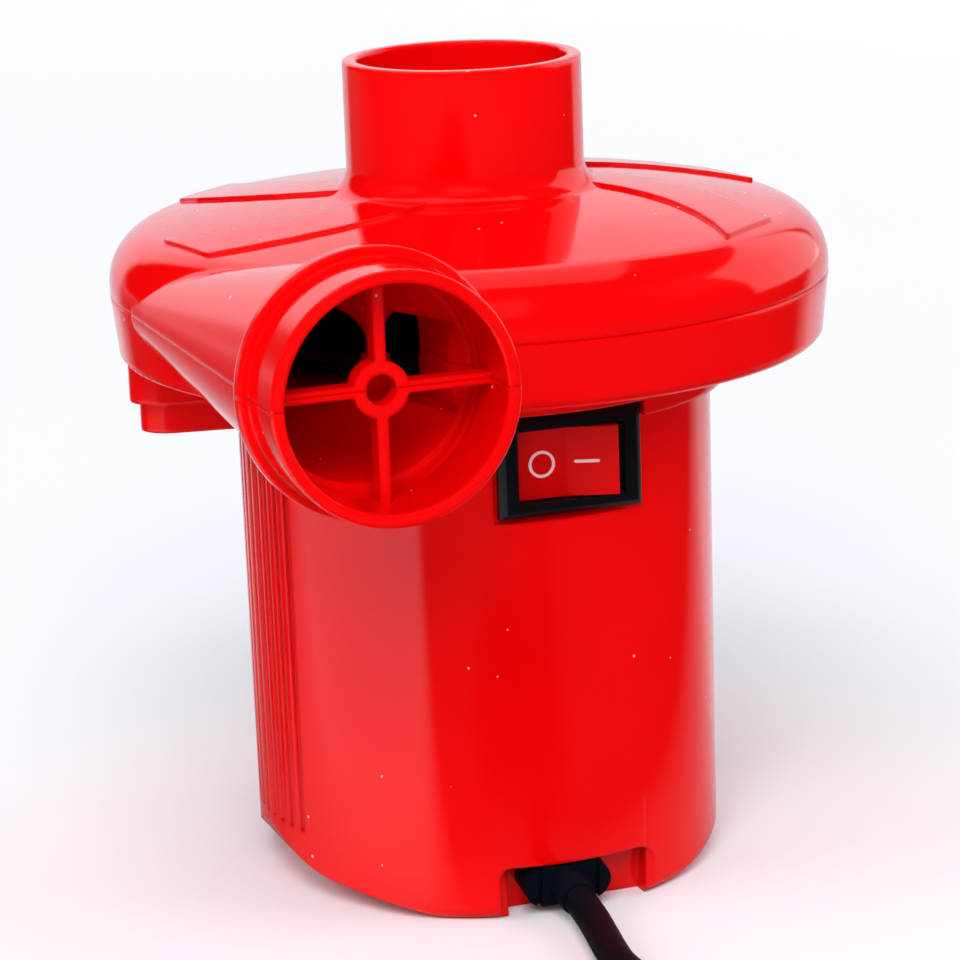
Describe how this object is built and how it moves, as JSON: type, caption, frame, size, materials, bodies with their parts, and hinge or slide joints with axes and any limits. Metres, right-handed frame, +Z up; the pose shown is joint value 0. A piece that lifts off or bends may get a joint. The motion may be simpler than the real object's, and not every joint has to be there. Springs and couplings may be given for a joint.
{
  "type": "electric air pump",
  "caption": "Mains air pump for air beds: a fan casing with an inlet neck and a side outlet on an upright motor housing, with a rocker switch and a mains lead.",
  "frame": {"origin": "on the pump axis, at the floor the motor housing stands on", "axes": "+Z up along the motor shaft and the inlet neck; -Y the way the outlet blows and the switch faces; -X the outlet's side"},
  "size_m": [0.1046, 0.2621, 0.1179],
  "materials": {
    "red_plastic": "glossy moulded",
    "black_plastic": "satin moulded",
    "rocker_plastic": "glossy moulded",
    "cord_rubber": "satin",
    "wire_cover": "satin",
    "steel": "turned",
    "lamination_steel": "varnished laminations",
    "copper": "enamelled wire",
    "brass": "plain",
    "bronze": "sintered",
    "bracket_aluminium": "die cast",
    "carbon": "dull"
  },
  "bodies": {
    "pump": {"top_cover": "red_plastic", "lower_shell": "red_plastic", "motor_housing": "red_plastic", "cover_screws": "steel", "housing_screws": "steel", "motor_screws": "steel", "stator_core": "lamination_steel", "field_coils": "copper", "upper_bracket": "bracket_aluminium", "lower_bracket": "bracket_aluminium", "upper_bearing": "bronze", "lower_bearing": "bronze", "brush_holders": "brass", "carbon_brushes": "carbon", "brush_springs": "steel", "inner_leads": "wire_cover", "switch_bezel": "black_plastic", "switch_terminals": "brass", "cord_bushing": "cord_rubber", "cord_lead": "cord_rubber", "cord_coil": "cord_rubber", "coil_tie": "black_plastic", "cord_tail": "cord_rubber", "plug_body": "black_plastic", "plug_pins": "brass"},
    "rotor": {"motor_shaft": "steel", "armature_core": "lamination_steel", "armature_windings": "copper", "commutator": "copper", "impeller": "black_plastic", "impeller_nut": "brass"},
    "rocker": {"switch_rocker": "rocker_plastic"}
  },
  "joints": [
    {"name": "rotor_spin", "type": "hinge", "parent": "pump", "child": "rotor", "pos_m": [0, 0, 0.086], "axis": [0, 0, 1], "continuous": true},
    {"name": "rocker_tip", "type": "hinge", "parent": "pump", "child": "rocker", "pos_m": [0.002, -0.0315, 0.0655], "axis": [0, 0, 1], "range_deg": [0, 22]}
  ]
}
